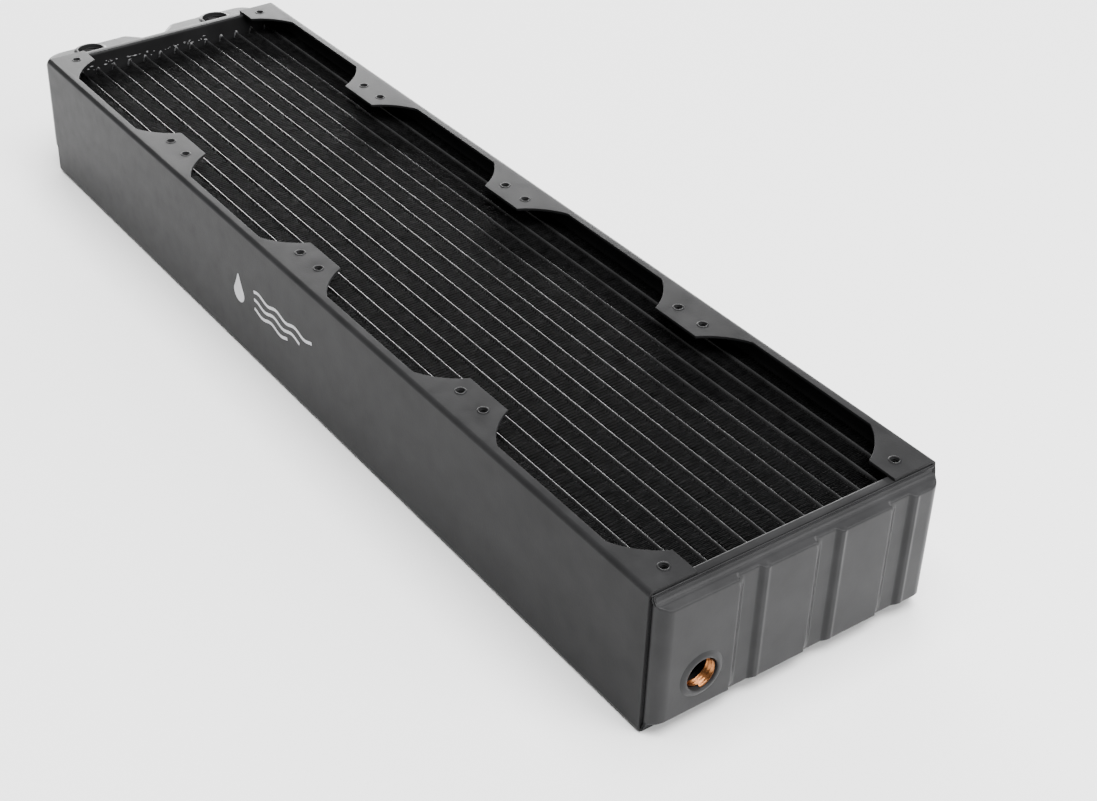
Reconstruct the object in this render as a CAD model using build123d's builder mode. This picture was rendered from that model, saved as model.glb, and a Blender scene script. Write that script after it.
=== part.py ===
"""Liquid cooling radiator for a row of four 120 mm fans, in millimetres.

Flat tubes run lengthways (X) with a folded fin strip in every gap, held between two header trays.
A drawn pan is soldered into each tray: a shallow return tank at +X and a deeper port tank, pinched
in at the waist and split by a divider, at -X.  Two folded sheet channels cover the long sides; their
flanges carry the fan screw holes above and below.

Origin: centre of the fan hole grid, on the plane of the lower flanges.  +X along the radiator towards
the return tank, +Y across it, +Z up through its thickness.
"""

from build123d import *
import os

# Fan grid -----------------------------------------------------------------------------------------
FAN_COUNT = 4
FAN_PITCH = 120.0
FAN_HOLE_PITCH = 105.0
FAN_CENTRES = [(i - (FAN_COUNT - 1) / 2) * FAN_PITCH for i in range(FAN_COUNT)]
SCREW_R = 1.6  # tapped 6-32, between its minor and major radius
SCREW_COLLAR_R = 2.5
SCREW_COLLAR_DEPTH = 1.6

# Envelope -----------------------------------------------------------------------------------------
HEIGHT = 63.0
WIDTH = 130.0
MID_Z = HEIGHT / 2
CHANNEL_LENGTH = FAN_COUNT * FAN_PITCH + 1.0
CHANNEL_END = CHANNEL_LENGTH / 2
SHEET = 1.2  # channel and header sheet
BEND_R = 2.0
GAP = 0.05  # sliding gap between neighbouring sheets

# Flange outline, measured from a fan centre ---------------------------------------------------------
RIM_Y = 60.5  # inner edge of the narrow rim beside each fan
EAR_Y = 44.7  # tip of an ear
EAR_X = 47.6  # where an ear's tip starts
ARC_MID = (41.1, 53.9)
RIM_X = 32.0  # where the arc meets the rim

# Core ---------------------------------------------------------------------------------------------
TUBE_COLUMNS = 14
TUBE_PITCH = 8.85
TUBE_THICK = 2.0
TUBE_DEPTH = 44.2
TUBE_WALL = 0.16
TUBE_PROUD = 1.5  # how far a tube ends past the header plate, inside the tank
TUBE_YS = [(i - (TUBE_COLUMNS - 1) / 2) * TUBE_PITCH for i in range(TUBE_COLUMNS)]
FIN_SHEET = 0.08
FIN_STEP = 1.5  # along the tube, from one crossing of the strip to the next
FIN_SET_DOWN = 0.6  # fin edge below the tube noses
FIN_CLEAR = 0.02
FIN_END_GAP = 5.0  # from the last fold to the header

# Header trays -------------------------------------------------------------------------------------
HEADER_X = CHANNEL_END - 4.0  # core face of the tray's plate
PLATE_X = HEADER_X + SHEET  # tank face of the tray's plate
TRAY_HALF_Y = WIDTH / 2 - SHEET - GAP
TRAY_HALF_Z = MID_Z - SHEET
TRAY_BEND_R = 0.8
SOLDER_WIDTH = 0.9
SOLDER_HEIGHT = 1.1

# Tanks, drawn at +X -------------------------------------------------------------------------------
TANK_WALL = 1.0
RIM_HALF_Y = TRAY_HALF_Y - SHEET - GAP  # the part that sits inside a tray
RIM_HALF_Z = TRAY_HALF_Z - SHEET - GAP
LEDGE_X = CHANNEL_END + GAP  # where a tank steps out over the tray's edge
LEDGE_FLAT = 0.4
LEDGE_HALF_Y = TRAY_HALF_Y - 0.2
LEDGE_HALF_Z = TRAY_HALF_Z - 0.2
ARC_SAG = 0.29  # share of a quarter round's side at its midpoint

RETURN_X = 246.3  # outer face of the pressed panels
RETURN_STRIP_X = 244.9  # outer face of the strips between them
RETURN_SHOULDER_X = 243.2
RETURN_HALF_Z = 26.3
RETURN_LIP_R = 0.8
PANEL_PITCH = 34.7
PANEL_STARTS = [-53.6 + PANEL_PITCH * i for i in range(4)]
PANEL_LENGTH = 23.0
PANEL_RAMP = 2.4  # at the panel's -Y side; the first panel runs on to the corner instead
PANEL_FALL = 3.4  # at its +Y side
PANEL_BLEND_R = 1.2

PORT_X = 261.0
PORT_SHOULDER_X = 243.4
PORT_HALF_Z = 24.6
PORT_SIDE_Y = 61.5
PORT_CORNER_R = 12.0
PORT_LIP_R = 2.6
WAIST_DEPTH = 9.2
WAIST_OUTER_Y = 13.0
WAIST_INNER_Y = 3.6
WAIST_BLEND_R = 5.0
DIVIDER = 1.2

# Threaded ports (G1/4) ----------------------------------------------------------------------------
THREAD_R = 5.72  # minor radius of the thread
BUSH_R = 7.4
MOUTH_CHAMFER = 0.9
COLLAR_R = 9.3
TOP_COLLAR_R = 8.4
COLLAR_PROUD = 0.8
COLLAR_ROUND = 0.5
END_PORT_Y = -44.0
END_PORT_Z = 21.5
END_BUSH_BACK = 6.5  # how far the end bushing reaches behind the panel
TOP_PORT_X = 252.5
TOP_PORT_Y = 36.0
TOP_BUSH_BACK = 9.0


def write(part, name):
    """Labels a finished piece and writes its STEP file."""
    part.label = name
    export_step(part, f"parts/{name}.step")


def to_far_end(part):
    """Turns a piece drawn at +X round to the -X end."""
    return Rot(0, 0, 180) * part


# Side channels --------------------------------------------------------------------------------------
def flange():
    """Flange of the +Y channel: a narrow rim with ears between the fans."""
    with BuildSketch() as outline:
        with Locations((0, (EAR_Y + WIDTH / 2) / 2)):
            Rectangle(CHANNEL_LENGTH, WIDTH / 2 - EAR_Y)
        for centre in FAN_CENTRES:
            with BuildLine():
                tip_right = (centre + EAR_X, EAR_Y)
                tip_left = (centre - EAR_X, EAR_Y)
                ThreePointArc(tip_right, (centre + ARC_MID[0], ARC_MID[1]), (centre + RIM_X, RIM_Y))
                Line((centre + RIM_X, RIM_Y), (centre - RIM_X, RIM_Y))
                ThreePointArc((centre - RIM_X, RIM_Y), (centre - ARC_MID[0], ARC_MID[1]), tip_left)
                Polyline(tip_left, (centre - EAR_X, EAR_Y - 1), (centre + EAR_X, EAR_Y - 1), tip_right)
            make_face(mode=Mode.SUBTRACT)
    return outline.sketch


def side_channel():
    """The +Y channel: a web with a flange above and below and a drawn collar at every screw hole."""
    spots = [(c + s * FAN_HOLE_PITCH / 2, FAN_HOLE_PITCH / 2) for c in FAN_CENTRES for s in (-1, 1)]
    outline = flange()
    with BuildPart() as channel:
        with Locations((0, WIDTH / 2 - SHEET / 2, MID_Z)):
            Box(CHANNEL_LENGTH, SHEET, HEIGHT)
        for level, inward in ((HEIGHT, -1), (0, 1)):
            extrude(Pos(0, 0, level) * outline, amount=inward * SHEET)
            with BuildSketch(Plane.XY.offset(level)):
                with Locations(*spots):
                    Circle(SCREW_COLLAR_R)
            extrude(amount=inward * (SHEET + SCREW_COLLAR_DEPTH))
            with BuildSketch(Plane.XY.offset(level)):
                with Locations(*spots):
                    Circle(SCREW_R)
            extrude(amount=inward * (SHEET + SCREW_COLLAR_DEPTH), mode=Mode.SUBTRACT)
        bends = channel.edges().filter_by(Axis.X).group_by(Axis.Y)[-1]
        fillet(bends, BEND_R)
    return channel.part


# Core -----------------------------------------------------------------------------------------------
def flat_tube(y):
    """One flat tube, open at both ends."""
    length = 2 * (PLATE_X + TUBE_PROUD)
    with BuildPart() as tube:
        with BuildSketch(Plane.YZ.offset(-length / 2)):
            with Locations((y, MID_Z)):
                SlotOverall(TUBE_DEPTH, TUBE_THICK, rotation=90)
                SlotOverall(
                    TUBE_DEPTH - 2 * TUBE_WALL, TUBE_THICK - 2 * TUBE_WALL, rotation=90, mode=Mode.SUBTRACT
                )
        extrude(amount=length)
    return tube.part


def fin_strip(low_y, high_y):
    """A strip folded to and fro between two walls, its crossings a step apart along X."""
    folds = int(2 * (HEADER_X - FIN_END_GAP) / FIN_STEP)
    start = -folds * FIN_STEP / 2
    low = low_y + FIN_CLEAR
    high = high_y - FIN_CLEAR
    sheet = FIN_SHEET * (1 + ((high - low) / FIN_STEP) ** 2) ** 0.5  # measured along Y
    under = [(start + i * FIN_STEP, (low, high - sheet)[i % 2]) for i in range(folds + 1)]
    over = [(x, y + sheet) for x, y in reversed(under)]
    with BuildPart() as strip:
        with BuildSketch(Plane.XY.offset(MID_Z - TUBE_DEPTH / 2 + FIN_SET_DOWN)):
            with BuildLine():
                Polyline(*under, *over, close=True)
            make_face()
        extrude(amount=TUBE_DEPTH - 2 * FIN_SET_DOWN)
    return strip.part


def solder_bead(y):
    """Fillet of solder round one tube, on the core face of the +X header."""
    with BuildPart() as bead:
        with BuildSketch(Plane.YZ.offset(HEADER_X)):
            with Locations((y, MID_Z)):
                SlotOverall(TUBE_DEPTH + 2 * SOLDER_WIDTH, TUBE_THICK + 2 * SOLDER_WIDTH, rotation=90)
        extrude(amount=-SOLDER_HEIGHT, taper=36)
        with BuildSketch(Plane.YZ.offset(HEADER_X)):
            with Locations((y, MID_Z)):
                SlotOverall(TUBE_DEPTH, TUBE_THICK, rotation=90)
        extrude(amount=-SOLDER_HEIGHT, mode=Mode.SUBTRACT)
    return bead.part


# Headers --------------------------------------------------------------------------------------------
def header_tray():
    """The +X header: a slotted plate with its rim folded outwards all round."""
    with BuildPart() as tray:
        with BuildSketch(Plane.YZ.offset(HEADER_X)):
            with Locations((0, MID_Z)):
                Rectangle(2 * TRAY_HALF_Y, 2 * TRAY_HALF_Z)
        extrude(amount=CHANNEL_END - HEADER_X)
        with BuildSketch(Plane.YZ.offset(PLATE_X)):
            with Locations((0, MID_Z)):
                Rectangle(2 * (TRAY_HALF_Y - SHEET), 2 * (TRAY_HALF_Z - SHEET))
        extrude(amount=CHANNEL_END - PLATE_X, mode=Mode.SUBTRACT)
        core_rim = tray.edges().filter_by(Axis.Y).group_by(Axis.X)[0]
        fillet(core_rim, TRAY_BEND_R)
        with BuildSketch(Plane.YZ.offset(HEADER_X)):
            with Locations(*[(y, MID_Z) for y in TUBE_YS]):
                SlotOverall(TUBE_DEPTH, TUBE_THICK, rotation=90)
        extrude(amount=SHEET, mode=Mode.SUBTRACT)
    return tray.part


# Tanks ----------------------------------------------------------------------------------------------
def tank_section(shoulder_x, face_x, half_z, inset, lip_r):
    """Section (X, Z) through a tank: rim inside the tray, ledge over its edge, hollow shoulder, pan."""
    ledge_x = LEDGE_X + LEDGE_FLAT
    ledge_z = RIM_HALF_Z - inset if inset else LEDGE_HALF_Z
    end_x = face_x - inset
    top_z = half_z - inset
    sag = (ledge_x + ARC_SAG * (shoulder_x - ledge_x), ledge_z - (1 - ARC_SAG) * (ledge_z - top_z))
    with BuildSketch(Plane.XZ) as section:
        with BuildLine():
            Polyline((end_x, MID_Z), (PLATE_X, MID_Z), (PLATE_X, MID_Z + RIM_HALF_Z - inset))
            if inset:
                Line((PLATE_X, MID_Z + ledge_z), (ledge_x, MID_Z + ledge_z))
            else:
                Polyline(
                    (PLATE_X, MID_Z + RIM_HALF_Z),
                    (LEDGE_X, MID_Z + RIM_HALF_Z),
                    (LEDGE_X, MID_Z + ledge_z),
                    (ledge_x, MID_Z + ledge_z),
                )
            ThreePointArc((ledge_x, MID_Z + ledge_z), (sag[0], MID_Z + sag[1]), (shoulder_x, MID_Z + top_z))
            Line((shoulder_x, MID_Z + top_z), (end_x - lip_r, MID_Z + top_z))
            if lip_r:
                JernArc((end_x - lip_r, MID_Z + top_z), (1, 0), lip_r, -90)
            Line((end_x, MID_Z + top_z - lip_r), (end_x, MID_Z))
        make_face()
    return section.sketch + mirror(section.sketch, about=Plane.XY.offset(MID_Z))


def between(section, plan):
    """Solid with the given section in X-Z and the given plan in X-Y."""
    return extrude(section, amount=WIDTH, both=True) & extrude(plan, amount=HEIGHT)


def return_plan(face_x, inset):
    """Plan (X, Y) of the return tank as far as a given outer face, with round corners."""
    ledge_x = LEDGE_X + LEDGE_FLAT
    ledge_y = RIM_HALF_Y - inset if inset else LEDGE_HALF_Y
    end_x = face_x - inset
    radius = end_x - ledge_x
    with BuildSketch() as plan:
        with BuildLine():
            Line((end_x, radius - ledge_y), (end_x, ledge_y - radius))
            for side in (-1, 1):
                JernArc((end_x, side * (ledge_y - radius)), (0, side), radius, side * 90)
                if inset:
                    Line((ledge_x, side * ledge_y), (PLATE_X, side * ledge_y))
                else:
                    Polyline(
                        (ledge_x, side * ledge_y),
                        (LEDGE_X, side * ledge_y),
                        (LEDGE_X, side * RIM_HALF_Y),
                        (PLATE_X, side * RIM_HALF_Y),
                    )
            Line((PLATE_X, inset - RIM_HALF_Y), (PLATE_X, RIM_HALF_Y - inset))
        make_face()
    return plan.sketch


def panel_plan(start, inset):
    """Plan of one pressed panel: a short ramp at -Y and a longer fall at +Y, or a corner of the tank."""
    strip_x = RETURN_STRIP_X - inset
    face_x = RETURN_X - inset
    back_x = RETURN_SHOULDER_X
    first = start == PANEL_STARTS[0]
    last = start == PANEL_STARTS[-1]
    end = start + PANEL_LENGTH
    foot = end + PANEL_FALL
    toe = start - PANEL_RAMP
    if first:
        low_side = [(back_x, -LEDGE_HALF_Y), (face_x, -LEDGE_HALF_Y)]
    else:
        tail_y = toe - PANEL_BLEND_R
        low_side = [(back_x, tail_y), (strip_x, tail_y), (strip_x, toe), (face_x, start)]
    if last:
        high_side = [(face_x, LEDGE_HALF_Y), (back_x, LEDGE_HALF_Y)]
    else:
        tail_y = foot + PANEL_BLEND_R
        high_side = [(face_x, end), (strip_x, foot), (strip_x, tail_y), (back_x, tail_y)]
    with BuildSketch() as plan:
        with BuildLine():
            Polyline(*low_side, *high_side, close=True)
        make_face()
        creases = [v for v in plan.vertices() if v.X > strip_x - 0.1]
        ramp = [v for v in creases if not first and toe - 0.1 < v.Y < start + 0.1]
        fall = [v for v in creases if not last and end - 0.1 < v.Y < foot + 0.1]
        fillet(ramp + fall, PANEL_BLEND_R)
    return plan.sketch


def return_solid(inset):
    """Return tank without its hollow: the strip-deep pan with the proud panels added."""
    lip_r = RETURN_LIP_R - inset / 2
    pan = between(
        tank_section(RETURN_SHOULDER_X, RETURN_STRIP_X, RETURN_HALF_Z, inset, lip_r),
        return_plan(RETURN_STRIP_X, inset),
    )
    proud = tank_section(RETURN_SHOULDER_X, RETURN_X, RETURN_HALF_Z, inset, lip_r)
    limits = extrude(return_plan(RETURN_X, inset), amount=HEIGHT)
    for start in PANEL_STARTS:
        pan += between(proud, panel_plan(start, inset)) & limits
    return pan


def port_plan(inset):
    """Plan (X, Y) of the port tank: straight sides, round corners and a waist in the outer face."""
    ledge_x = LEDGE_X + LEDGE_FLAT
    ledge_y = RIM_HALF_Y - inset if inset else LEDGE_HALF_Y
    side_y = PORT_SIDE_Y - inset
    face_x = PORT_X - inset
    waist_x = PORT_X - WAIST_DEPTH - inset
    sag_x = ledge_x + ARC_SAG * (PORT_SHOULDER_X - ledge_x)
    sag_y = ledge_y - (1 - ARC_SAG) * (ledge_y - side_y)
    with BuildSketch() as plan:
        with BuildLine():
            for side in (-1, 1):
                if inset:
                    Line((PLATE_X, side * ledge_y), (ledge_x, side * ledge_y))
                else:
                    Polyline(
                        (PLATE_X, side * RIM_HALF_Y),
                        (LEDGE_X, side * RIM_HALF_Y),
                        (LEDGE_X, side * ledge_y),
                        (ledge_x, side * ledge_y),
                    )
                ThreePointArc(
                    (ledge_x, side * ledge_y), (sag_x, side * sag_y), (PORT_SHOULDER_X, side * side_y)
                )
                Polyline(
                    (PORT_SHOULDER_X, side * side_y),
                    (face_x, side * side_y),
                    (face_x, side * (WAIST_OUTER_Y + inset)),
                    (waist_x, side * (WAIST_INNER_Y + inset)),
                )
            Line((waist_x, -(WAIST_INNER_Y + inset)), (waist_x, WAIST_INNER_Y + inset))
            Line((PLATE_X, -(RIM_HALF_Y - inset)), (PLATE_X, RIM_HALF_Y - inset))
        make_face()
        waist = [v for v in plan.vertices() if abs(v.Y) < WAIST_OUTER_Y + 2 and v.X > LEDGE_X]
        fillet(waist, WAIST_BLEND_R)
        corners = [v for v in plan.vertices() if v.X > face_x - 0.1 and abs(v.Y) > side_y - 0.1]
        fillet(corners, PORT_CORNER_R - inset)
    return plan.sketch


def lip_edges(solid, height, reach):
    """Edges of the upper and lower lips of a tank: level or nearly so, beyond a distance along X."""
    return [
        e
        for e in solid.edges()
        if e.bounding_box().min.X > reach
        and abs(abs(e.center().Z - MID_Z) - height) < 0.6
        and e.bounding_box().size.Z < 1.0
    ]


def return_tank():
    """Shallow tank at +X, with the hole for its drain bushing."""
    hole = Pos(RETURN_X, END_PORT_Y, END_PORT_Z) * Rot(0, 90, 0) * Cylinder(BUSH_R, 8 * TANK_WALL)
    return return_solid(0) - return_solid(TANK_WALL) - hole


def port_room():
    """The hollow of the port tank, drawn at +X."""
    section = tank_section(PORT_SHOULDER_X, PORT_X, PORT_HALF_Z, TANK_WALL, PORT_LIP_R - TANK_WALL)
    return between(section, port_plan(TANK_WALL))


def port_tank():
    """Deep tank, drawn at +X, with holes in its top for the two bushings."""
    outer = between(tank_section(PORT_SHOULDER_X, PORT_X, PORT_HALF_Z, 0, 0), port_plan(0))
    outer = fillet(lip_edges(outer, PORT_HALF_Z, PORT_SHOULDER_X - 0.1), PORT_LIP_R)
    shell = outer - port_room()
    for side in (-1, 1):
        shell -= Pos(TOP_PORT_X, side * TOP_PORT_Y, MID_Z + PORT_HALF_Z) * Cylinder(BUSH_R, 8 * TANK_WALL)
    return shell


def divider():
    """Plate across the middle of the port tank, drawn at +X."""
    return port_room() & Pos(LEDGE_X, 0, MID_Z) * Box(2 * WIDTH, DIVIDER, HEIGHT)


def bushing(collar_r, back):
    """Flanged G1/4 bushing, its seat on the plane Z = 0 and its bore along Z."""
    with BuildPart() as bush:
        Cylinder(collar_r, COLLAR_PROUD, align=(Align.CENTER, Align.CENTER, Align.MIN))
        fillet(bush.edges().group_by(Axis.Z)[-1], COLLAR_ROUND)
        Cylinder(BUSH_R, back, align=(Align.CENTER, Align.CENTER, Align.MAX))
        Cylinder(THREAD_R, 4 * back, mode=Mode.SUBTRACT)
        mouth = bush.edges().filter_by(GeomType.CIRCLE).group_by(Axis.Z)[-1].sort_by(SortBy.RADIUS)[0]
        chamfer(mouth, MOUTH_CHAMFER)
    return bush.part


os.makedirs("parts", exist_ok=True)

back_channel = side_channel()
write(back_channel, "side_channel_back")
write(mirror(back_channel, about=Plane.XZ), "side_channel_front")

for index, tube_y in enumerate(TUBE_YS):
    write(flat_tube(tube_y), f"flat_tube_{index + 1:02d}")

walls = [-TRAY_HALF_Y] + TUBE_YS + [TRAY_HALF_Y]
for index in range(len(walls) - 1):
    low = walls[index] + (TUBE_THICK / 2 if index > 0 else 0)
    high = walls[index + 1] - (TUBE_THICK / 2 if index < TUBE_COLUMNS else 0)
    write(fin_strip(low, high), f"fin_strip_{index + 1:02d}")

near_tray = header_tray()
write(near_tray, "header_tray_near")
write(to_far_end(near_tray), "header_tray_far")

near_solder = Compound(children=[solder_bead(y) for y in TUBE_YS])
write(near_solder, "tube_solder_near")
write(Compound(children=[to_far_end(solder_bead(y)) for y in TUBE_YS]), "tube_solder_far")

write(return_tank(), "return_tank")
write(to_far_end(port_tank()), "port_tank")
write(to_far_end(divider()), "flow_divider")

drain = Pos(RETURN_X, END_PORT_Y, END_PORT_Z) * Rot(0, 90, 0) * bushing(COLLAR_R, END_BUSH_BACK)
write(drain, "drain_bushing")
top_z = MID_Z + PORT_HALF_Z
for side, word in ((-1, "front"), (1, "back")):
    port = Pos(-TOP_PORT_X, side * TOP_PORT_Y, top_z) * bushing(TOP_COLLAR_R, TOP_BUSH_BACK)
    write(port, f"port_bushing_{word}")
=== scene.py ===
"""Studio scene of a liquid cooling radiator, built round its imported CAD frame.

Shapes are written in millimetres, in the frame of the part, and scaled to metres as they are made.
"""

import math
import random

import bmesh
import bpy
from mathutils import Matrix, Vector


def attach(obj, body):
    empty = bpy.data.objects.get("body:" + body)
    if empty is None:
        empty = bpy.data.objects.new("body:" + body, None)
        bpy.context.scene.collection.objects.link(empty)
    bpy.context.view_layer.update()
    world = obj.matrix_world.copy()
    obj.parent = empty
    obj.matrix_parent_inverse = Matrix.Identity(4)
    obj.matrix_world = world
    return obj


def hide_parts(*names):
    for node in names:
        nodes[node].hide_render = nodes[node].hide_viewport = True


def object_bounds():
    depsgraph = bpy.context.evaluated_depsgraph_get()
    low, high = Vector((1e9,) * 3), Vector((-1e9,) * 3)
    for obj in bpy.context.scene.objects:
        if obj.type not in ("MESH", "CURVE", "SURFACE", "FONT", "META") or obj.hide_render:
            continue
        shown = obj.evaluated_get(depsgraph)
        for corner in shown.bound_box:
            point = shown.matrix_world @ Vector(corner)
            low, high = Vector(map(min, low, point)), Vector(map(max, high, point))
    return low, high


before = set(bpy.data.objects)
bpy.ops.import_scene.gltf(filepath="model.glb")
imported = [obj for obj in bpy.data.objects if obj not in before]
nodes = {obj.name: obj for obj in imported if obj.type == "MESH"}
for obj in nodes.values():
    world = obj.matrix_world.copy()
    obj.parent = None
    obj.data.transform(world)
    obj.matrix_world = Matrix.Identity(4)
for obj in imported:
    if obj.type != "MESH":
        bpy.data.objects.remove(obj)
cad_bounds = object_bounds()
MM = 0.001

# Sizes shared with the CAD --------------------------------------------------------------------------
HEIGHT = 63.0
MID_Z = HEIGHT / 2
SHEET = 1.2
CHANNEL_END = 240.5
FAN_CENTRES = (-180.0, -60.0, 60.0, 180.0)
HOLE_OFFSET = 52.5
BEND_R = 2.0
WEB_Y = 65.0
RIM_Y = 60.5
EAR_Y = 44.7
EAR_X = 47.6
ARC_MID = (41.1, 53.9)
RIM_X = 32.0
TUBE_YS = [(i - 6.5) * 8.85 for i in range(14)]
TUBE_HALF = 22.1
TUBE_END = 239.2
HEADER_X = 236.5
TRAY_HALF_Y = 63.75
TRAY_HALF_Z = 30.3
LEDGE_X = 240.55
LEDGE_HALF_Y = 63.55
LEDGE_HALF_Z = 30.1
SHOULDER_X = 243.2
RETURN_X = 246.3
STRIP_X = 244.9
RETURN_HALF_Z = 26.3
PANEL_STARTS = [-53.6 + 34.7 * i for i in range(4)]
PANEL_LENGTH = 23.0
DRAIN = (246.3, -44.0, 21.5)
PORTS = ((-252.5, -36.0, 56.1), (-252.5, 36.0, 56.1))

# Camera ---------------------------------------------------------------------------------------------
CAMERA_AT = Vector((0.5929, -0.37985, 0.47378))
CAMERA_RIGHT = Vector((0.542893, 0.83978, -0.005979))
CAMERA_UP = Vector((-0.455613, 0.300507, 0.837921))
LENS = 62.315
SHIFT = (0.1206, -0.0745)

cam_data = bpy.data.cameras.new("camera")
cam_data.lens = LENS
cam_data.sensor_width = 36.0
cam_data.sensor_fit = "HORIZONTAL"
cam_data.shift_x, cam_data.shift_y = SHIFT
cam_data.clip_start = 0.01
cam_data.clip_end = 50.0
camera = bpy.data.objects.new("camera", cam_data)
bpy.context.scene.collection.objects.link(camera)
back = CAMERA_RIGHT.cross(CAMERA_UP).normalized()
turn = Matrix((CAMERA_RIGHT, back.cross(CAMERA_RIGHT).normalized(), back)).transposed()
camera.matrix_world = Matrix.Translation(CAMERA_AT) @ turn.to_4x4()
bpy.context.scene.camera = camera


# Materials ------------------------------------------------------------------------------------------
def new_material(name):
    """A node material with one Principled shader."""
    mat = bpy.data.materials.new(name)
    mat.use_nodes = True
    tree = mat.node_tree
    tree.nodes.clear()
    out = tree.nodes.new("ShaderNodeOutputMaterial")
    shader = tree.nodes.new("ShaderNodeBsdfPrincipled")
    tree.links.new(shader.outputs["BSDF"], out.inputs["Surface"])
    return mat, tree, shader


def add_noise(tree, scale, detail, coords):
    noise = tree.nodes.new("ShaderNodeTexNoise")
    noise.inputs["Scale"].default_value = scale
    noise.inputs["Detail"].default_value = detail
    tree.links.new(coords, noise.inputs["Vector"])
    return noise.outputs["Fac"]


def add_range(tree, value, low, high, start=0.3, end=0.7):
    node = tree.nodes.new("ShaderNodeMapRange")
    node.inputs["From Min"].default_value = start
    node.inputs["From Max"].default_value = end
    node.inputs["To Min"].default_value = low
    node.inputs["To Max"].default_value = high
    tree.links.new(value, node.inputs["Value"])
    return node.outputs["Result"]


def add_bump(tree, shader, height, strength, distance):
    bump = tree.nodes.new("ShaderNodeBump")
    bump.inputs["Strength"].default_value = strength
    bump.inputs["Distance"].default_value = distance
    tree.links.new(height, bump.inputs["Height"])
    tree.links.new(bump.outputs["Normal"], shader.inputs["Normal"])


def coated(name, dark, light, gloss, grain, bump, metallic=0.0, specular=0.5, mottle=60.0, coat=0.0):
    """Mottled colour between dark and light, uneven gloss, and a fine relief of the given grain."""
    mat, tree, shader = new_material(name)
    coords = tree.nodes.new("ShaderNodeTexCoord").outputs["Object"]
    tint = tree.nodes.new("ShaderNodeMix")
    tint.data_type = "RGBA"
    tint.inputs["A"].default_value = (*dark, 1)
    tint.inputs["B"].default_value = (*light, 1)
    blend = add_range(tree, add_noise(tree, mottle, 5.0, coords), 0.0, 1.0)
    tree.links.new(blend, tint.inputs["Factor"])
    tree.links.new(tint.outputs["Result"], shader.inputs["Base Color"])
    rough = add_range(tree, add_noise(tree, mottle * 2.3, 3.0, coords), gloss[0], gloss[1])
    tree.links.new(rough, shader.inputs["Roughness"])
    shader.inputs["Metallic"].default_value = metallic
    shader.inputs["Specular IOR Level"].default_value = specular
    shader.inputs["Coat Weight"].default_value = coat
    add_bump(tree, shader, add_noise(tree, grain, 2.0, coords), bump, 0.0002)
    return mat


def grey(value):
    return (value, value, value * 1.03)


SATIN = coated("satin_black_paint", grey(0.011), grey(0.016), (0.28, 0.36), 1500.0, 0.10, specular=0.05)
TANK_PAINT = coated("tank_paint", grey(0.018), grey(0.026), (0.28, 0.36), 900.0, 0.08, specular=0.10)
FIN_PAINT = coated(
    "fin_paint", grey(0.002), grey(0.009), (0.4, 0.6), 2500.0, 0.3, specular=0.12, mottle=300.0
)
TUBE_PAINT = coated("tube_paint", grey(0.008), grey(0.018), (0.22, 0.3), 1200.0, 0.08, mottle=120.0)
SOLDER = coated("solder", grey(0.004), grey(0.10), (0.25, 0.5), 1500.0, 0.6, mottle=900.0)
# Solder specks, light grey: the solder is real, but its light tone is partly a painted highlight
SOLDER_SPECK_AND_PAINTED_HIGHLIGHT = coated("solder_run_painted_highlight", grey(0.03), grey(0.16), (0.2, 0.4), 1500.0, 0.3, mottle=900.0)
BRASS = coated(
    "bare_brass",
    (0.24, 0.09, 0.03),
    (0.38, 0.16, 0.06),
    (0.22, 0.34),
    1800.0,
    0.15,
    metallic=1.0,
    mottle=400.0,
)
PRINT = coated("printed_grey", grey(0.42), grey(0.50), (0.45, 0.6), 2500.0, 0.1, mottle=200.0)


# Mesh helpers ---------------------------------------------------------------------------------------
def new_object(name, verts, faces):
    """An object from points in millimetres."""
    mesh = bpy.data.meshes.new(name)
    mesh.from_pydata([Vector(v) * MM for v in verts], [], faces)
    mesh.validate()
    obj = bpy.data.objects.new(name, mesh)
    bpy.context.scene.collection.objects.link(obj)
    return obj


def tidy_mesh(obj, weld=0.0005):
    """Welds coincident points and turns every face outwards."""
    bm = bmesh.new()
    bm.from_mesh(obj.data)
    bmesh.ops.remove_doubles(bm, verts=bm.verts, dist=weld * MM)
    bmesh.ops.recalc_face_normals(bm, faces=bm.faces)
    bm.to_mesh(obj.data)
    bm.free()


def mark_sharp(obj, degrees):
    """Smooth faces, with edges sharper than the given angle kept crisp."""
    bm = bmesh.new()
    bm.from_mesh(obj.data)
    limit = math.radians(degrees)
    for face in bm.faces:
        face.smooth = True
    for edge in bm.edges:
        edge.smooth = len(edge.link_faces) == 2 and edge.calc_face_angle(0.0) < limit
    bm.to_mesh(obj.data)
    bm.free()


def apply_modifiers(obj):
    """Makes the modified shape the object's own mesh."""
    graph = bpy.context.evaluated_depsgraph_get()
    graph.update()
    mesh = bpy.data.meshes.new_from_object(obj.evaluated_get(graph))
    obj.modifiers.clear()
    obj.data = mesh


def soften(obj, width, degrees=50.0, segments=2):
    """Rounds the edges sharper than an angle and evens the shading of the flats beside them."""
    bevel = obj.modifiers.new("bevel", "BEVEL")
    bevel.width = width * MM
    bevel.segments = segments
    bevel.limit_method = "ANGLE"
    bevel.angle_limit = math.radians(degrees)
    apply_modifiers(obj)
    mark_sharp(obj, 60.0)
    even = obj.modifiers.new("even", "WEIGHTED_NORMAL")
    even.keep_sharp = True
    even.weight = 100
    apply_modifiers(obj)


def place(obj, mat, slot, *stands_for):
    """Gives a finished piece its material and its body; the slot argument is not used."""
    obj.data.materials.clear()
    obj.data.materials.append(mat)
    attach(obj, "root")
    if stands_for:
        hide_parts(*stands_for)
    return obj


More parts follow.
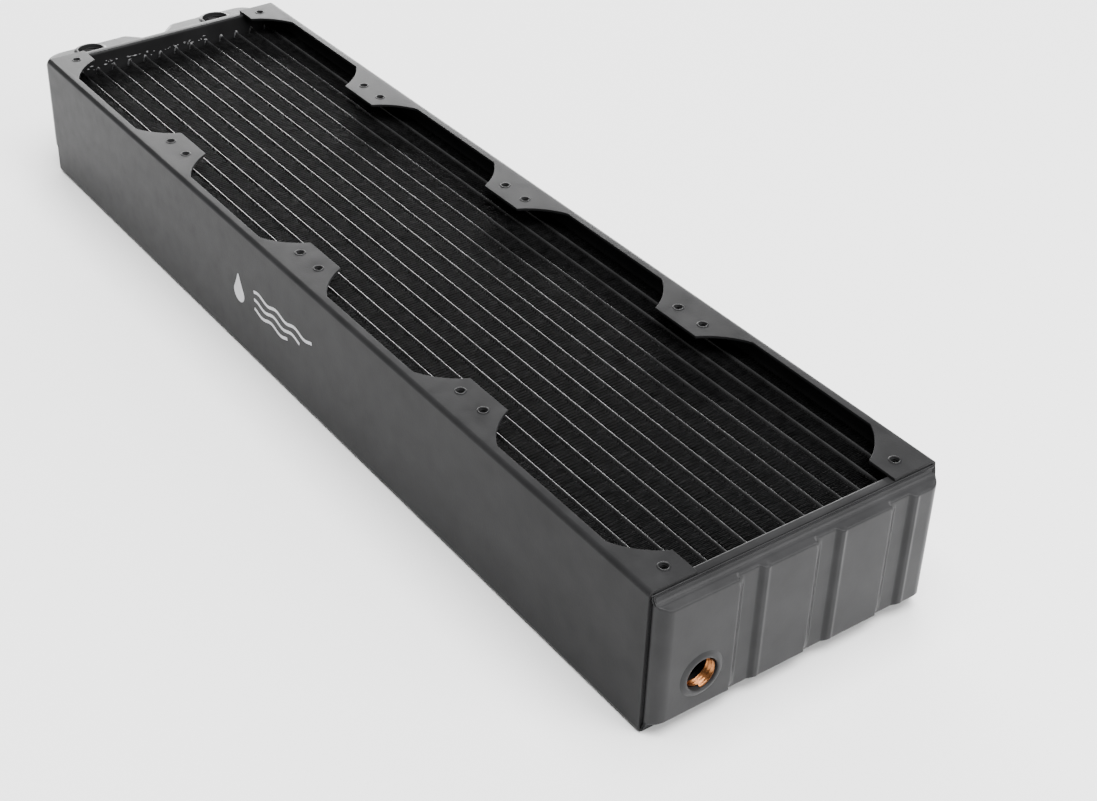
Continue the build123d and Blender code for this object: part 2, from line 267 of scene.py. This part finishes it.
def loop_faces(rows, width, closed_rows=False, closed_cols=True):
    """Quads over a grid of rows, each with width points, optionally closed either way."""
    faces = []
    for i in range(rows if closed_rows else rows - 1):
        for j in range(width if closed_cols else width - 1):
            a, b = i * width, ((i + 1) % rows) * width
            k = (j + 1) % width
            faces.append((a + j, a + k, b + k, b + j))
    return faces


def lathe(profile, matrix, segments=32, closed=True):
    """Points and faces of a profile of (radius, height) turned about the local Z axis of matrix."""
    verts = []
    for i in range(segments):
        angle = 2 * math.pi * i / segments
        for radius, height in profile:
            verts.append(matrix @ Vector((radius * math.cos(angle), radius * math.sin(angle), height)))
    return verts, loop_faces(segments, len(profile), True, closed)


def merge(parts):
    """Several (points, faces) lists as one."""
    verts, faces = [], []
    for part_verts, part_faces in parts:
        start = len(verts)
        verts += list(part_verts)
        faces += [tuple(start + i for i in face) for face in part_faces]
    return verts, faces


def arc_through(a, b, c, steps):
    """Points of the circular arc from a to c by way of b, ends included."""
    (ax, ay), (bx, by), (cx, cy) = a, b, c
    d = 2 * (ax * (by - cy) + bx * (cy - ay) + cx * (ay - by))
    ux = ((ax**2 + ay**2) * (by - cy) + (bx**2 + by**2) * (cy - ay) + (cx**2 + cy**2) * (ay - by)) / d
    uy = ((ax**2 + ay**2) * (cx - bx) + (bx**2 + by**2) * (ax - cx) + (cx**2 + cy**2) * (bx - ax)) / d
    radius = math.hypot(ax - ux, ay - uy)
    start = math.atan2(ay - uy, ax - ux)
    middle = (math.atan2(by - uy, bx - ux) - start) % (2 * math.pi)
    sweep = (math.atan2(cy - uy, cx - ux) - start) % (2 * math.pi)
    if middle > sweep:
        sweep -= 2 * math.pi
    angles = [start + sweep * i / steps for i in range(steps + 1)]
    return [(ux + radius * math.cos(t), uy + radius * math.sin(t)) for t in angles]


def circle(cx, cy, radius, steps):
    angles = [2 * math.pi * i / steps for i in range(steps)]
    return [(cx + radius * math.cos(t), cy + radius * math.sin(t)) for t in angles]


def fill_loops(bm, loops):
    """Fills a flat outline with holes; loops are lists of 3-D points. Returns the loops' vertices."""
    made = []
    edges = []
    for loop in loops:
        verts = [bm.verts.new(Vector(p) * MM) for p in loop]
        edges += [bm.edges.new((verts[i], verts[(i + 1) % len(verts)])) for i in range(len(verts))]
        made.append(verts)
    bmesh.ops.triangle_fill(bm, use_beauty=True, use_dissolve=False, edges=edges)
    return made


# Side channels --------------------------------------------------------------------------------------
HOLE_R = 2.1  # where the drawn collar leaves the flange
ARC_STEPS = 14
BEND_STEPS = 8


def flange_loops(side, level):
    """Outline of a flange and its screw holes, as loops of points at one level."""
    outline = [(-CHANNEL_END, EAR_Y)]
    for c in FAN_CENTRES:
        left = arc_through((c - EAR_X, EAR_Y), (c - ARC_MID[0], ARC_MID[1]), (c - RIM_X, RIM_Y), ARC_STEPS)
        right = arc_through((c + RIM_X, RIM_Y), (c + ARC_MID[0], ARC_MID[1]), (c + EAR_X, EAR_Y), ARC_STEPS)
        outline += left + right
    outline += [(CHANNEL_END, EAR_Y), (CHANNEL_END, WEB_Y - BEND_R), (-CHANNEL_END, WEB_Y - BEND_R)]
    loops = [outline]
    for c in FAN_CENTRES:
        for s in (-1, 1):
            loops.append(circle(c + s * HOLE_OFFSET, HOLE_OFFSET, HOLE_R, 24))
    return [[(x, side * y, level) for x, y in loop] for loop in loops]


def channel(name, side, node):
    """One folded sheet channel: two flanges joined by the web, given the sheet's thickness."""
    bm = bmesh.new()
    rings = []
    for level in (HEIGHT, 0.0):
        outline = fill_loops(bm, flange_loops(side, level))[0]
        rings.append((outline[-1], outline[-2]))
    profile = []
    for k in range(1, BEND_STEPS + 1):
        a = math.pi / 2 * k / BEND_STEPS
        profile.append((WEB_Y - BEND_R + BEND_R * math.sin(a), HEIGHT - BEND_R + BEND_R * math.cos(a)))
    profile += [(y, HEIGHT - z) for y, z in reversed(profile)]
    previous = rings[0]
    for y, z in profile:
        pair = tuple(bm.verts.new(Vector((x, side * y, z)) * MM) for x in (-CHANNEL_END, CHANNEL_END))
        bm.faces.new((previous[0], previous[1], pair[1], pair[0]))
        previous = pair
    bm.faces.new((previous[0], previous[1], rings[1][1], rings[1][0]))
    bmesh.ops.recalc_face_normals(bm, faces=bm.faces)
    web = min(bm.faces, key=lambda f: (f.calc_center_median() - Vector((0, side * WEB_Y, MID_Z)) * MM).length)
    if web.normal.y * side < 0:
        bmesh.ops.reverse_faces(bm, faces=bm.faces)
    mesh = bpy.data.meshes.new(name)
    bm.to_mesh(mesh)
    bm.free()
    obj = bpy.data.objects.new(name, mesh)
    bpy.context.scene.collection.objects.link(obj)
    thick = obj.modifiers.new("thick", "SOLIDIFY")
    thick.thickness = SHEET * MM
    thick.offset = -1
    thick.use_even_offset = True
    apply_modifiers(obj)
    soften(obj, 0.16)
    place(obj, SATIN, "satin_black_paint", node)


THREAD_PITCH = 0.8
COLLAR_PROFILE = [(2.45, 0.0), (2.32, 0.14), (2.1, 0.22), (1.85, 0.2), (1.66, 0.05), (1.58, -0.2)]
for turn_index in range(3):
    top = -0.3 - THREAD_PITCH * turn_index
    COLLAR_PROFILE += [(1.62, top), (1.38, top - THREAD_PITCH / 2)]
COLLAR_PROFILE += [(1.62, -2.75), (2.42, -2.8), (2.5, -2.6), (2.5, -1.1)]


def collars(name, side):
    """Drawn and tapped collars of one channel's screw holes, above and below."""
    parts = []
    for c in FAN_CENTRES:
        for s in (-1, 1):
            spot = Vector((c + s * HOLE_OFFSET, side * HOLE_OFFSET, 0))
            above = Matrix.Translation(spot + Vector((0, 0, HEIGHT)))
            below = Matrix.Translation(spot) @ Matrix.Rotation(math.pi, 4, "X")
            parts += [lathe(COLLAR_PROFILE, above), lathe(COLLAR_PROFILE, below)]
    obj = new_object(name, *merge(parts))
    tidy_mesh(obj)
    mark_sharp(obj, 50.0)
    place(obj, SATIN, "satin_black_paint")


channel("channel_front", -1, "side_channel_front")
channel("channel_back", 1, "side_channel_back")
collars("screw_collars_front", -1)
collars("screw_collars_back", 1)


# Core -----------------------------------------------------------------------------------------------
NOSE = [(1.0, 3.2), (0.86, 1.9), (0.62, 0.9), (0.38, 0.25), (0.16, 0.0)]  # half width, set back from the tip


def tube_loop(y, half_height, grow=0.0):
    """Cross-section of a flat tube as (y, z), with slim rounded noses."""
    right = [(y + w + grow, MID_Z + half_height + grow - d) for w, d in NOSE]
    left = [(2 * y - a, b) for a, b in reversed(right)]
    upper = right + left
    return upper + [(2 * y - a, 2 * MID_Z - b) for a, b in upper]


def core_tube(index, y):
    outer = tube_loop(y, TUBE_HALF)
    inner = [(y + (a - y) * 0.82, MID_Z + (b - MID_Z) * 0.992) for a, b in outer]
    rows = [[(x, a, b) for a, b in loop] for x, loop in ((-TUBE_END, outer), (TUBE_END, outer))]
    rows += [[(x, a, b) for a, b in loop] for x, loop in ((TUBE_END, inner), (-TUBE_END, inner))]
    obj = new_object(f"tube_{index:02d}", sum(rows, []), loop_faces(4, len(outer), True))
    tidy_mesh(obj)
    mark_sharp(obj, 50.0)
    place(obj, TUBE_PAINT, "core_black_paint", f"flat_tube_{index:02d}")


FIN_STEP = 0.8
FIN_END = 231.5
FIN_HALF = 21.9
FIN_SHEET = 0.08


def core_fin(index, low, high):
    """A folded fin strip with round folds, and crossings that are not quite even."""
    rng = random.Random(7000 + index)
    middle, reach = (low + high) / 2, (high - low) / 2 - 0.03
    line = []
    for i in range(int(2 * FIN_END / FIN_STEP)):
        x = -FIN_END + i * FIN_STEP + rng.uniform(-0.04, 0.04)
        way = 1 if i % 2 else -1
        line += [
            (x + 0.30, middle - way * reach * 0.9),
            (x + 0.50, middle + way * reach * 0.9),
            (x + FIN_STEP, middle + way * reach),
        ]
    top = [(x, y, MID_Z + FIN_HALF + rng.uniform(-0.3, -0.15)) for x, y in line]
    low_edge = [(x, y, MID_Z - FIN_HALF + rng.uniform(0.15, 0.3)) for x, y in line]
    obj = new_object(f"fin_{index:02d}", top + low_edge, loop_faces(2, len(line), False, False))
    thick = obj.modifiers.new("thick", "SOLIDIFY")
    thick.thickness = FIN_SHEET * MM
    thick.offset = 0
    apply_modifiers(obj)
    mark_sharp(obj, 60.0)
    place(obj, FIN_PAINT, "core_black_paint", f"fin_strip_{index:02d}")


for tube_index, tube_y in enumerate(TUBE_YS):
    core_tube(tube_index + 1, tube_y)
walls = [-TRAY_HALF_Y - 1] + TUBE_YS + [TRAY_HALF_Y + 1]
for fin_index in range(15):
    core_fin(fin_index + 1, walls[fin_index] + 1, walls[fin_index + 1] - 1)


def solder_beads(name, end, node):
    """Uneven fillets of solder round the tubes where they enter a header."""
    rng = random.Random(40 + end)
    parts = []
    for y in TUBE_YS:
        path = tube_loop(y, TUBE_HALF)
        dense = []
        for i, (a, b) in enumerate(path):
            c, d = path[(i + 1) % len(path)]
            steps = max(1, int(math.hypot(c - a, d - b) / 1.2))
            dense += [(a + (c - a) * k / steps, b + (d - b) * k / steps) for k in range(steps)]
        verts = []
        swell = 1.0
        for a, b in dense:
            swell = 0.5 * swell + 0.5 * rng.uniform(0.1, 1.6)
            out = Vector((a - y, (b - MID_Z) / 22.0)).normalized()
            for k in range(5):
                t = math.pi / 2 * k / 4
                reach = 0.55 * swell * math.cos(t)
                rise = 0.8 * swell * math.sin(t)
                verts.append((end * (HEADER_X - rise + 0.05), a + out.x * reach, b + out.y * reach))
        parts.append((verts, loop_faces(len(dense), 5, True, False)))
    obj = new_object(name, *merge(parts))
    thick = obj.modifiers.new("thick", "SOLIDIFY")
    thick.thickness = 0.1 * MM
    apply_modifiers(obj)
    tidy_mesh(obj)
    mark_sharp(obj, 70.0)
    place(obj, SOLDER, "solder", node)


SPECK_SPAN = (-46, 22)  # Y, from one end of the row to the other
SPECK_Z = 54.6


def solder_specks(name, end, count):
    """Small runs of solder on the header's face, in an uneven row level with the tubes' upper ends; their
    light grey is partly a painted highlight.
    """
    rng = random.Random(90)
    parts = []
    for _ in range(count):
        y = rng.uniform(*SPECK_SPAN)
        z = SPECK_Z + rng.gauss(0.0, 0.7)
        size = rng.uniform(0.15, 0.42)
        long = rng.uniform(1.0, 4.0)
        stretch = Matrix.Diagonal((size, size * long, size * 0.7, 1))
        turn = Matrix.Rotation(-end * math.pi / 2, 4, "Y") @ stretch
        spot = Matrix.Translation((end * HEADER_X, y, z)) @ turn
        parts.append(lathe([(1.0, -0.3), (0.9, 0.35), (0.6, 0.8), (0.02, 1.0)], spot, 10, False))
    obj = new_object(name, *merge(parts))
    tidy_mesh(obj)
    mark_sharp(obj, 80.0)
    place(obj, SOLDER_SPECK_AND_PAINTED_HIGHLIGHT, "solder")


solder_specks("solder_specks_far", -1, 46)
solder_beads("solder_near", 1, "tube_solder_near")
solder_beads("solder_far", -1, "tube_solder_far")


# Header trays ---------------------------------------------------------------------------------------
def round_rect(half_y, half_z, radius, steps=6):
    points = []
    for k, (sy, sz) in enumerate(((1, 1), (-1, 1), (-1, -1), (1, -1))):
        for i in range(steps + 1):
            t = math.pi / 2 * (k + i / steps)
            cy, cz = sy * (half_y - radius), sz * (half_z - radius)
            points.append((cy + radius * math.cos(t), MID_Z + cz + radius * math.sin(t)))
    return points


def header(name, end, node):
    """Slotted plate with a rolled rim: light catches its bend and its outer lip."""
    bend = 1.0
    section = [(HEADER_X, bend + 0.4)]
    for i in range(6):
        t = math.pi / 2 * i / 5
        section.append((HEADER_X + bend - bend * math.cos(t), bend - bend * math.sin(t)))
    section += [(239.0, 0.12), (240.2, 0.0), (240.42, 0.06), (240.5, 0.25), (240.5, 1.0), (240.4, 1.18)]
    section += [(239.0, SHEET), (HEADER_X + SHEET, SHEET + 0.3), (HEADER_X + SHEET, bend + 0.4 + SHEET)]
    rows = []
    for x, inset in section:
        radius = max(2.4 - inset, 0.4)
        loop = round_rect(TRAY_HALF_Y - inset, TRAY_HALF_Z - inset, radius)
        rows.append([(end * x, y, z) for y, z in loop])
    width = len(rows[0])
    rim = (sum(rows, []), loop_faces(len(rows), width, False, True))
    bm = bmesh.new()
    for x, ring in ((HEADER_X, rows[0]), (HEADER_X + SHEET, rows[-1])):
        slots = [[(end * x, a, b) for a, b in tube_loop(y, TUBE_HALF)] for y in TUBE_YS]
        fill_loops(bm, [ring] + slots)
    plate_mesh = bpy.data.meshes.new(name)
    bm.to_mesh(plate_mesh)
    bm.free()
    plate = ([v.co / MM for v in plate_mesh.vertices], [tuple(p.vertices) for p in plate_mesh.polygons])
    obj = new_object(name, *merge([rim, plate]))
    tidy_mesh(obj)
    mark_sharp(obj, 50.0)
    place(obj, SATIN, "satin_black_paint", node)


header("header_near", 1, "header_tray_near")
header("header_far", -1, "header_tray_far")


# Return tank ----------------------------------------------------------------------------------------
def blend_step(t):
    """Smooth 0 to 1."""
    t = min(max(t, 0.0), 1.0)
    return t * t * (3 - 2 * t)


def panel_rise(y, fall):
    """How proud the tank's face is at y: 0 on a strip, 1 on a pressed panel, over 1 on its ridge.

    fall is the distance over which a panel falls away at its +Y end.
    """
    rise = 0.0
    for start in PANEL_STARTS:
        first = start == PANEL_STARTS[0]
        last = start == PANEL_STARTS[-1]
        up = 1.0 if first else blend_step((y - (start - 2.3)) / 2.1)
        ridge = 0.0 if first else 0.2 * math.exp(-(((y - start - 0.9) / 0.8) ** 2))
        down = 1.0 if last else 1 - blend_step((y - start - PANEL_LENGTH) / fall)
        if first or y > start - 3:
            rise = max(rise, (up + ridge) * down)
    return rise


ROW_STEP = 0.35  # along Y, from one section of the tank to the next
LIP_FALL = 0.7  # a panel's lip ends abruptly
WALL_FALL = 3.6  # and the wall below it softly


def return_contour():
    """Plan of the tank's face as (x at its lip, x below, y), from the -Y ledge round to the +Y ledge."""
    corner_r = RETURN_X - LEDGE_X - 0.4
    centre_y = LEDGE_HALF_Y - corner_r
    corner = []
    for i in range(15):
        t = math.pi / 2 * i / 14
        corner.append((LEDGE_X + 0.4 + corner_r * math.sin(t), centre_y + corner_r * math.cos(t)))
    points = [(x, x, -y) for x, y in corner]
    y = -LEDGE_HALF_Y + corner_r + ROW_STEP
    while y < LEDGE_HALF_Y - corner_r - 0.2:
        lip_x = STRIP_X + (RETURN_X - STRIP_X) * panel_rise(y, LIP_FALL)
        wall_x = STRIP_X + (RETURN_X - STRIP_X) * panel_rise(y, WALL_FALL)
        points.append((lip_x, wall_x, y))
        y += ROW_STEP
    return points + [(x, x, y) for x, y in reversed(corner)]


def top_height(x):
    """Half height of the tank at x: a hollow shoulder down from the ledge, then flat."""
    start = LEDGE_X + 0.4
    if x >= SHOULDER_X:
        return RETURN_HALF_Z - 0.55 * max(x - SHOULDER_X - 0.6, 0.0)
    t = max((x - start) / (SHOULDER_X - start), 0.0)
    drop = LEDGE_HALF_Z - RETURN_HALF_Z
    return RETURN_HALF_Z + drop * (1 - math.sqrt(max(1 - (1 - t) ** 2, 0.0)))


def return_section(face_x):
    """Upper half of the section at one y, from inside the tray over the ledge to the face."""
    lip = min(1.1, (face_x - LEDGE_X) * 0.4)
    points = [(LEDGE_X - 2.6, 28.9), (LEDGE_X, 28.95), (LEDGE_X, 29.7), (LEDGE_X + 0.08, 30.0)]
    points += [(LEDGE_X + 0.25, 30.18), (LEDGE_X + 0.4, LEDGE_HALF_Z)]
    start = LEDGE_X + 0.4
    for i in range(1, 11):
        x = start + (SHOULDER_X + 0.6 - start) * (1 - math.cos(math.pi / 2 * i / 10))
        x = min(x, face_x - lip)
        points.append((x, top_height(x)))
    crown = top_height(face_x - lip)
    for i in range(8):
        t = math.pi / 2 * i / 7
        points.append((face_x - lip + lip * math.sin(t), crown - lip + lip * math.cos(t)))
    return points


RIM_END_Y = 62.5  # beyond this the tank has no rim inside the tray
LIP_BLEND = 3.0  # depth below the lip at which the wall has its own fall
WALL_DROPS = (0.4, 0.9, 1.6, 2.6, 4.0, 8.0, 14.0)  # rows of the wall, below the lip


def return_tank():
    """Thin shell lofted through sections along Y, with a hole for the drain bushing."""
    rows = []
    for lip_x, wall_x, y in return_contour():
        upper = return_section(lip_x)
        if abs(y) > RIM_END_Y:
            upper = [(max(x, LEDGE_X), z) for x, z in upper]
        edge_z = upper[-1][1]
        wall = []
        for depth in WALL_DROPS:
            wall.append((lip_x + (wall_x - lip_x) * blend_step(depth / LIP_BLEND), edge_z - depth))
        half = upper + wall
        full = half + [(wall_x, 0.0)] + [(x, -z) for x, z in reversed(half)]
        rows.append([(x, y, MID_Z + z) for x, z in full])
    obj = new_object("return_tank", sum(rows, []), loop_faces(len(rows), len(rows[0]), False, False))
    bm = bmesh.new()
    bm.from_mesh(obj.data)
    bmesh.ops.remove_doubles(bm, verts=bm.verts, dist=0.0005 * MM)
    bmesh.ops.dissolve_degenerate(bm, edges=bm.edges, dist=0.0005 * MM)
    bmesh.ops.recalc_face_normals(bm, faces=bm.faces)
    front = max(bm.faces, key=lambda f: f.calc_center_median().x)
    if front.normal.x < 0:
        bmesh.ops.reverse_faces(bm, faces=bm.faces)
    bm.to_mesh(obj.data)
    bm.free()
    thick = obj.modifiers.new("thick", "SOLIDIFY")
    thick.thickness = 0.7 * MM
    thick.offset = -1
    apply_modifiers(obj)
    cutter = new_object("cutter", *lathe([(7.4, -6), (7.4, 6)], drain_matrix, 64, False))
    bm = bmesh.new()
    bm.from_mesh(cutter.data)
    bmesh.ops.holes_fill(bm, edges=bm.edges)
    bmesh.ops.recalc_face_normals(bm, faces=bm.faces)
    bm.to_mesh(cutter.data)
    bm.free()
    cut = obj.modifiers.new("cut", "BOOLEAN")
    cut.operation = "DIFFERENCE"
    cut.solver = "EXACT"
    cut.object = cutter
    apply_modifiers(obj)
    bpy.data.objects.remove(cutter)
    mark_sharp(obj, 50.0)
    place(obj, TANK_PAINT, "satin_black_paint", "return_tank")


drain_matrix = Matrix.Translation(Vector(DRAIN)) @ Matrix.Rotation(math.pi / 2, 4, "Y")
return_tank()


# Threaded ports -------------------------------------------------------------------------------------
G14_PITCH = 1.337
G14_MAJOR = 6.58
G14_MINOR = 5.72


def thread(name, matrix, depth, mat, slot, flare):
    """Female thread as a helical groove, from the mouth down."""
    per_turn = 48
    turns = depth / G14_PITCH
    shape = [
        (G14_MINOR, 0.0),
        (G14_MINOR + 0.12, 0.1),
        (G14_MAJOR, 0.5),
        (G14_MAJOR, 0.62),
        (G14_MINOR + 0.12, 1.05),
    ]
    verts = []
    count = int(turns * per_turn)
    for i in range(count + 1):
        angle = 2 * math.pi * i / per_turn
        drop = G14_PITCH * i / per_turn
        for radius, part in shape + [(G14_MINOR, G14_PITCH)]:
            z = -drop - part
            wide = radius + max(0.0, flare + z)
            verts.append(matrix @ Vector((wide * math.cos(angle), wide * math.sin(angle), z)))
    faces = loop_faces(count + 1, len(shape) + 1, False, False)
    obj = new_object(name, verts, faces)
    thick = obj.modifiers.new("thick", "SOLIDIFY")
    thick.thickness = 0.12 * MM
    thick.offset = 1
    apply_modifiers(obj)
    tidy_mesh(obj)
    mark_sharp(obj, 60.0)
    place(obj, mat, slot)


def bushing(name, matrix, collar_r, rise, back, node):
    """Painted boss round a port: a soft swelling with a rolled mouth, and the bushing's body behind."""
    profile = [
        (collar_r + 0.5, -0.25),
        (collar_r + 0.1, 0.02),
        (collar_r - 0.35, 0.22),
        (collar_r - 0.8, 0.55 * rise),
        (collar_r - 1.3, 0.9 * rise),
        (collar_r - 1.8, rise),
        (7.15, rise),
        (6.85, rise - 0.1),
        (6.68, rise - 0.35),
        (6.66, rise - 0.8),
        (6.66, -back),
        (7.4, -back),
        (7.4, -1.2),
        (collar_r - 0.6, -1.1),
    ]
    obj = new_object(name, *lathe(profile, matrix, 64))
    tidy_mesh(obj)
    mark_sharp(obj, 50.0)
    place(obj, TANK_PAINT, "satin_black_paint", node)


bushing("drain_boss", drain_matrix, 9.3, 0.8, 6.5, "drain_bushing")
thread("drain_thread", drain_matrix @ Matrix.Translation((0, 0, 0.1)), 3.4, BRASS, "bare_brass", 0.5)
for port_index, port_at in enumerate(PORTS):
    port_matrix = Matrix.Translation(Vector(port_at))
    word = ("front", "back")[port_index]
    bushing(f"port_boss_{word}", port_matrix, 8.5, 0.7, 9.0, f"port_bushing_{word}")
    mouth = port_matrix @ Matrix.Translation((0, 0, -0.6))
    thread(f"port_thread_{word}", mouth, 6.5, TANK_PAINT, "satin_black_paint", 0.5)

for node_name in ("port_tank", "flow_divider"):
    for spot in nodes[node_name].material_slots:
        spot.material = TANK_PAINT


# Printed mark ---------------------------------------------------------------------------------------
def stroke(points, width):
    """Outline of a flat ribbon along a line of (x, z) points, for the front web."""
    left, right = [], []
    for i, (x, z) in enumerate(points):
        ax, az = points[max(i - 1, 0)]
        bx, bz = points[min(i + 1, len(points) - 1)]
        length = math.hypot(bx - ax, bz - az)
        nx, nz = -(bz - az) / length * width / 2, (bx - ax) / length * width / 2
        left.append((x + nx, z + nz))
        right.append((x - nx, z - nz))
    outline = left + list(reversed(right))
    return outline


DROP_X = -42
DROP_Z = 29.5
DROP_R = 4.6
DROP_TIP = 5.2  # how far the point reaches above the round


def printed_mark():
    """Drop and three ripples: a generic sign for liquid."""
    shapes = []
    drop = []
    for i in range(40):
        t = 2 * math.pi * i / 40
        upper = max(math.sin(t), 0.0)
        narrowing = 1 - 0.55 * upper**2
        x = DROP_X + DROP_R * math.cos(t) * narrowing
        z = DROP_Z + DROP_R * math.sin(t) + DROP_TIP * upper**3
        drop.append((x, z))
    shapes.append(drop)
    for row in range(3):
        wave = [(-28 + k * 1.5, 37 - row * 4.6 + 0.9 * math.sin(k * 0.6 + row)) for k in range(34 - 7 * row)]
        shapes.append(stroke(wave, 1.5))
    bm = bmesh.new()
    for shape in shapes:
        face = bm.faces.new([bm.verts.new(Vector((x, -WEB_Y - 0.02, z)) * MM) for x, z in shape])
        face.normal_update()
        if face.normal.y > 0:
            face.normal_flip()
    mesh = bpy.data.meshes.new("printed_mark")
    bm.to_mesh(mesh)
    bm.free()
    obj = bpy.data.objects.new("printed_mark", mesh)
    bpy.context.scene.collection.objects.link(obj)
    thick = obj.modifiers.new("thick", "SOLIDIFY")
    thick.thickness = 0.04 * MM
    thick.offset = -1
    apply_modifiers(obj)
    place(obj, PRINT, "satin_black_paint")


printed_mark()


# Studio ---------------------------------------------------------------------------------------------
def area_light(name, at, aim, size_x, size_y, power):
    data = bpy.data.lights.new(name, "AREA")
    data.shape = "RECTANGLE"
    data.size = size_x
    data.size_y = size_y
    data.energy = power
    obj = bpy.data.objects.new(name, data)
    bpy.context.scene.collection.objects.link(obj)
    obj.location = at
    obj.rotation_euler = (Vector(aim) - Vector(at)).to_track_quat("-Z", "Y").to_euler()
    return obj


floor_mat, _, floor_shader = new_material("studio_floor")
floor_shader.inputs["Base Color"].default_value = (0.9, 0.9, 0.9, 1)
floor_shader.inputs["Roughness"].default_value = 0.9
floor_shader.inputs["Specular IOR Level"].default_value = 0.1
FLOOR_Z = cad_bounds[0][2] / MM - 0.3
FLOOR = 6000.0  # half the side of the floor
floor_signs = ((-1, -1), (1, -1), (1, 1), (-1, 1))
floor_corners = [(sx * FLOOR, sy * FLOOR, FLOOR_Z) for sx, sy in floor_signs]
floor = new_object("floor", floor_corners, [(0, 1, 2, 3)])
floor.data.materials.append(floor_mat)

world = bpy.data.worlds.new("studio")
bpy.context.scene.world = world
world.use_nodes = True
sky = world.node_tree.nodes["Background"]
sky.inputs["Color"].default_value = (1, 1, 1, 1)
sky.inputs["Strength"].default_value = 0.30

area_light("back_softbox", (-2.6, 1.7, 0.75), (-0.2, 0.1, 0.0), 2.6, 1.1, 200)
area_light("key", (1.9, 0.9, 1.2), (0.1, 0, 0), 1.4, 1.2, 50)
area_light("top", (0.5, 0.0, 3.0), (0.1, 0, 0), 2.8, 2.8, 330)
